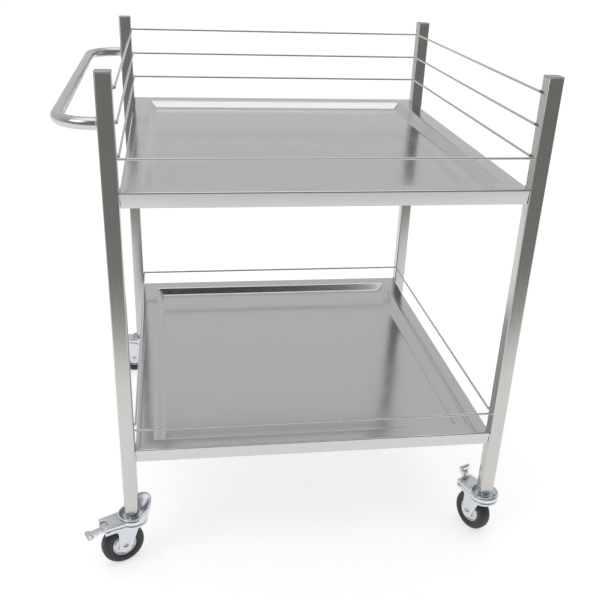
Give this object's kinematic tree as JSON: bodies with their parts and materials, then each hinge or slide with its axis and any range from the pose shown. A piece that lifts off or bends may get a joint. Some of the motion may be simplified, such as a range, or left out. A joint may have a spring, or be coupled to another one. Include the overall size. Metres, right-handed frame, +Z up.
{
  "type": "instrument cart",
  "caption": "Stainless instrument cart: square-tube posts, pressed upper and lower trays, rod guard rails, a side push handle and braked swivel casters.",
  "frame": {"origin": "on the floor, at the middle of the cart's outline seen from above, handle and casters included", "axes": "+X along the tray from the handle to the far end, +Y from the front, where only one rod crosses, to the back, +Z up"},
  "size_m": [0.7888, 0.8163, 0.881],
  "materials": {
    "post_steel": "satin brushed stainless, grain along the tube",
    "tray_steel": "satin brushed stainless sheet, grain along the long side",
    "rail_steel": "bright drawn stainless rod",
    "handle_steel": "fine polished stainless tube",
    "zinc_plate": "bright zinc plating on pressed steel",
    "hub_steel": "zinc-plated pressed hub",
    "tyre_rubber": "matt charcoal rubber"
  },
  "bodies": {
    "cart_frame": {"post_front_left": "post_steel", "post_front_right": "post_steel", "post_back_left": "post_steel", "post_back_right": "post_steel", "top_tray": "tray_steel", "lower_tray": "tray_steel", "top_rail_low": "rail_steel", "top_rail_middle": "rail_steel", "top_rail_high": "rail_steel", "top_rail_front": "rail_steel", "lower_rail": "rail_steel", "lower_rail_front": "rail_steel", "push_handle": "handle_steel", "stem_front_left": "zinc_plate", "stem_socket_front_left": "zinc_plate", "swivel_race_front_left": "zinc_plate", "stem_front_right": "zinc_plate", "stem_socket_front_right": "zinc_plate", "swivel_race_front_right": "zinc_plate", "stem_back_left": "zinc_plate", "stem_socket_back_left": "zinc_plate", "swivel_race_back_left": "zinc_plate", "stem_back_right": "zinc_plate", "stem_socket_back_right": "zinc_plate", "swivel_race_back_right": "zinc_plate"},
    "swivel_front_left": {"brake_cover_front_left": "zinc_plate", "fork_front_left": "zinc_plate", "axle_bolt_front_left": "zinc_plate", "axle_nut_front_left": "zinc_plate", "lever_pin_front_left": "zinc_plate"},
    "wheel_front_left": {"wheel_hub_front_left": "hub_steel", "tyre_front_left": "tyre_rubber"},
    "lever_front_left": {"brake_lever_front_left": "zinc_plate"},
    "swivel_front_right": {"brake_cover_front_right": "zinc_plate", "fork_front_right": "zinc_plate", "axle_bolt_front_right": "zinc_plate", "axle_nut_front_right": "zinc_plate", "lever_pin_front_right": "zinc_plate"},
    "wheel_front_right": {"wheel_hub_front_right": "hub_steel", "tyre_front_right": "tyre_rubber"},
    "lever_front_right": {"brake_lever_front_right": "zinc_plate"},
    "swivel_back_left": {"brake_cover_back_left": "zinc_plate", "fork_back_left": "zinc_plate", "axle_bolt_back_left": "zinc_plate", "axle_nut_back_left": "zinc_plate", "lever_pin_back_left": "zinc_plate"},
    "wheel_back_left": {"wheel_hub_back_left": "hub_steel", "tyre_back_left": "tyre_rubber"},
    "lever_back_left": {"brake_lever_back_left": "zinc_plate"},
    "swivel_back_right": {"brake_cover_back_right": "zinc_plate", "fork_back_right": "zinc_plate", "axle_bolt_back_right": "zinc_plate", "axle_nut_back_right": "zinc_plate", "lever_pin_back_right": "zinc_plate"},
    "wheel_back_right": {"wheel_hub_back_right": "hub_steel", "tyre_back_right": "tyre_rubber"},
    "lever_back_right": {"brake_lever_back_right": "zinc_plate"}
  },
  "joints": [
    {"name": "swivel_turn_front_left", "type": "hinge", "parent": "cart_frame", "child": "swivel_front_left", "pos_m": [-0.3085, -0.3625, 0.09], "axis": [0, 0, 1], "continuous": true},
    {"name": "wheel_spin_front_left", "type": "hinge", "parent": "swivel_front_left", "child": "wheel_front_left", "pos_m": [-0.32844, -0.3718, 0.04], "axis": [0.4226, -0.9063, 0], "continuous": true},
    {"name": "brake_front_left", "type": "hinge", "parent": "swivel_front_left", "child": "lever_front_left", "pos_m": [-0.35563, -0.38448, 0.084], "axis": [-0.4226, 0.9063, 0], "range_deg": [0, 83]},
    {"name": "swivel_turn_front_right", "type": "hinge", "parent": "cart_frame", "child": "swivel_front_right", "pos_m": [0.3665, -0.3625, 0.09], "axis": [0, 0, 1], "continuous": true},
    {"name": "wheel_spin_front_right", "type": "hinge", "parent": "swivel_front_right", "child": "wheel_front_right", "pos_m": [0.3579, -0.34225, 0.04], "axis": [-0.9205, -0.3907, 0], "continuous": true},
    {"name": "brake_front_right", "type": "hinge", "parent": "swivel_front_right", "child": "lever_front_right", "pos_m": [0.34618, -0.31463, 0.084], "axis": [0.9205, 0.3907, 0], "range_deg": [-83, 0]},
    {"name": "swivel_turn_back_left", "type": "hinge", "parent": "cart_frame", "child": "swivel_back_left", "pos_m": [-0.3085, 0.3625, 0.09], "axis": [0, 0, 1], "continuous": true},
    {"name": "wheel_spin_back_left", "type": "hinge", "parent": "swivel_back_left", "child": "wheel_back_left", "pos_m": [-0.3305, 0.3625, 0.04], "axis": [0, -1, 0], "continuous": true},
    {"name": "brake_back_left", "type": "hinge", "parent": "swivel_back_left", "child": "lever_back_left", "pos_m": [-0.3605, 0.3625, 0.084], "axis": [0, 1, 0], "range_deg": [-83, 0]},
    {"name": "swivel_turn_back_right", "type": "hinge", "parent": "cart_frame", "child": "swivel_back_right", "pos_m": [0.3665, 0.3625, 0.09], "axis": [0, 0, 1], "continuous": true},
    {"name": "wheel_spin_back_right", "type": "hinge", "parent": "swivel_back_right", "child": "wheel_back_right", "pos_m": [0.34745, 0.3735, 0.04], "axis": [-0.5, -0.866, 0], "continuous": true},
    {"name": "brake_back_right", "type": "hinge", "parent": "swivel_back_right", "child": "lever_back_right", "pos_m": [0.32147, 0.3885, 0.084], "axis": [0.5, 0.866, 0], "range_deg": [-83, 0]}
  ]
}
